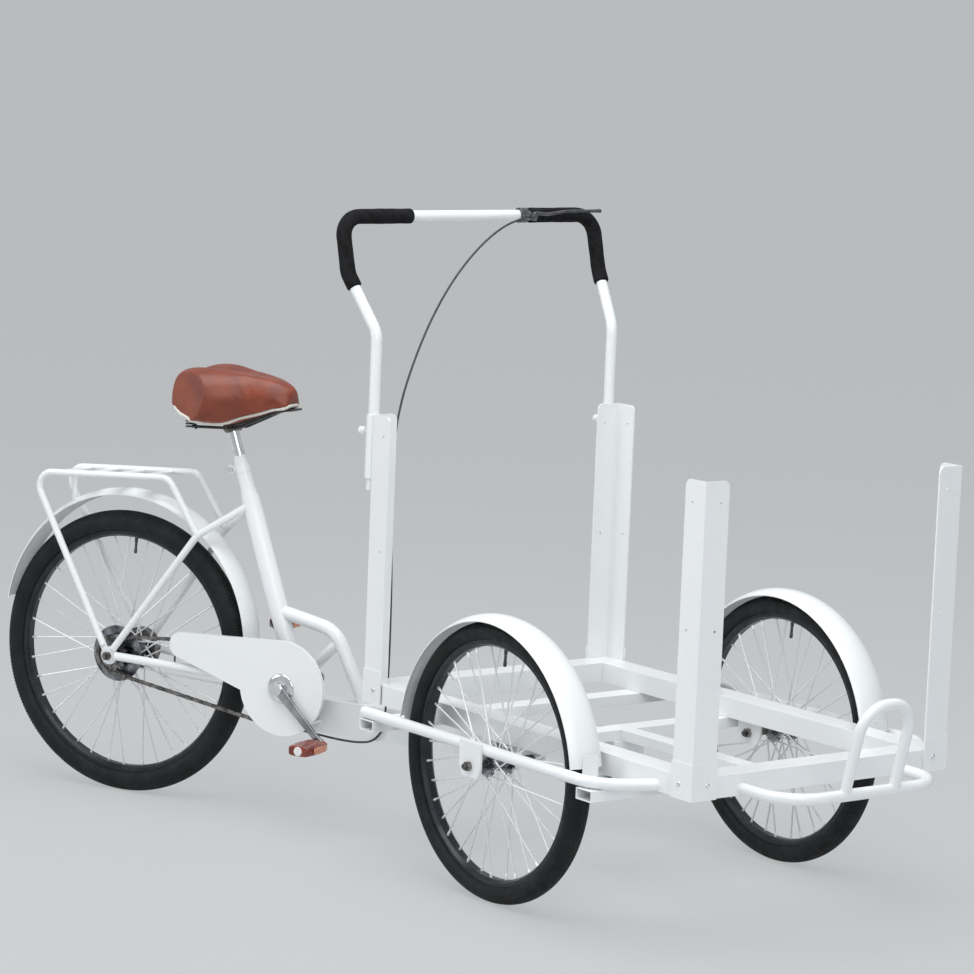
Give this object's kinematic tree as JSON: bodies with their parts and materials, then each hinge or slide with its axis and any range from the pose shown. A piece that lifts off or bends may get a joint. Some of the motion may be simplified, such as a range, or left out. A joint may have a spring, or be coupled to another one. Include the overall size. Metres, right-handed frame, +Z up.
{
  "type": "front-loading cargo tricycle",
  "caption": "Pedal cargo tricycle with an open load platform between its front wheels, upright corner posts, a push handlebar, and a rider's frame hinged behind it.",
  "frame": {"origin": "on the ground under the middle of the stored box, with the rider's frame at its parked steering", "axes": "+X forward along the load platform, +Y to the rider's left, +Z up"},
  "size_m": [2.3549, 1.195, 1.4166],
  "materials": {
    "white_paint": "gloss",
    "tyre": "matte",
    "black_rim": "gloss",
    "spoke_steel": "bright",
    "hub_metal": "satin",
    "steel": "satin",
    "chrome": "polished",
    "grip_foam": "matte foam",
    "black_lever": "satin",
    "brown_cover": "semi-gloss",
    "black_wire": "satin",
    "brown_pedal": "gloss",
    "cable_sheath": "satin"
  },
  "bodies": {
    "platform": {"front_rail": "white_paint", "rear_rail": "white_paint", "right_rail": "white_paint", "left_rail": "white_paint", "front_right_post": "white_paint", "front_left_post": "white_paint", "rear_right_post": "white_paint", "rear_left_post": "white_paint", "cross_tubes": "white_paint", "centre_bar": "white_paint", "kingpin_bracket": "white_paint", "kingpin": "steel", "outer_rails": "white_paint", "axle_hangers": "white_paint", "front_axles": "steel", "front_right_mudguard": "white_paint", "front_left_mudguard": "white_paint", "front_bumper": "white_paint", "bumper_hoop": "white_paint", "handlebar": "white_paint", "handlebar_sockets": "white_paint", "grips": "grip_foam", "brake_lever": "black_lever", "brake_cable": "cable_sheath"},
    "front_right_wheel": {"front_right_tyre": "tyre", "front_right_rim": "black_rim", "front_right_hub": "hub_metal", "front_right_spokes": "spoke_steel"},
    "front_left_wheel": {"front_left_tyre": "tyre", "front_left_rim": "black_rim", "front_left_hub": "hub_metal", "front_left_spokes": "spoke_steel"},
    "rider_frame": {"main_beam": "white_paint", "seat_tube": "white_paint", "top_tube": "white_paint", "chain_stays": "white_paint", "seat_stays": "white_paint", "rear_axle": "steel", "brake_band": "steel", "rear_mudguard": "white_paint", "rear_rack": "white_paint", "chain_guard": "white_paint", "chain": "steel", "seat_post": "chrome", "seat_clamp": "white_paint", "saddle_cushion": "brown_cover", "saddle_frame": "black_wire", "rear_brake_cable": "cable_sheath"},
    "rear_wheel": {"rear_tyre": "tyre", "rear_rim": "black_rim", "rear_hub": "hub_metal", "rear_spokes": "spoke_steel", "rear_sprocket": "steel", "spoke_guard": "chrome", "brake_drum": "steel"},
    "crank_set": {"chainring": "steel", "crank_spindle": "chrome", "crank_arms": "chrome"},
    "right_pedal": {"right_pedal": "brown_pedal"},
    "left_pedal": {"left_pedal": "brown_pedal"}
  },
  "joints": [
    {"name": "steering", "type": "hinge", "parent": "platform", "child": "rider_frame", "pos_m": [0.26497, 0.10802, 0], "axis": [0, 0, 1], "range_deg": [-65.3, 14.7]},
    {"name": "front_right_spin", "type": "hinge", "parent": "platform", "child": "front_right_wheel", "pos_m": [0.40297, -0.29198, 0.3], "axis": [0, 1, 0], "continuous": true},
    {"name": "front_left_spin", "type": "hinge", "parent": "platform", "child": "front_left_wheel", "pos_m": [0.40297, 0.50802, 0.3], "axis": [0, 1, 0], "continuous": true},
    {"name": "rear_spin", "type": "hinge", "parent": "rider_frame", "child": "rear_wheel", "pos_m": [-0.86965, -0.42832, 0.334], "axis": [-0.4274, 0.9041, 0], "continuous": true},
    {"name": "crank_spin", "type": "hinge", "parent": "rider_frame", "child": "crank_set", "pos_m": [-0.44654, -0.22831, 0.313], "axis": [-0.4274, 0.9041, 0], "continuous": true},
    {"name": "right_pedal_spin", "type": "hinge", "parent": "crank_set", "child": "right_pedal", "pos_m": [-0.34065, -0.17826, 0.20108], "axis": [-0.4274, 0.9041, 0], "continuous": true},
    {"name": "left_pedal_spin", "type": "hinge", "parent": "crank_set", "child": "left_pedal", "pos_m": [-0.55243, -0.27836, 0.42492], "axis": [-0.4274, 0.9041, 0], "continuous": true}
  ]
}
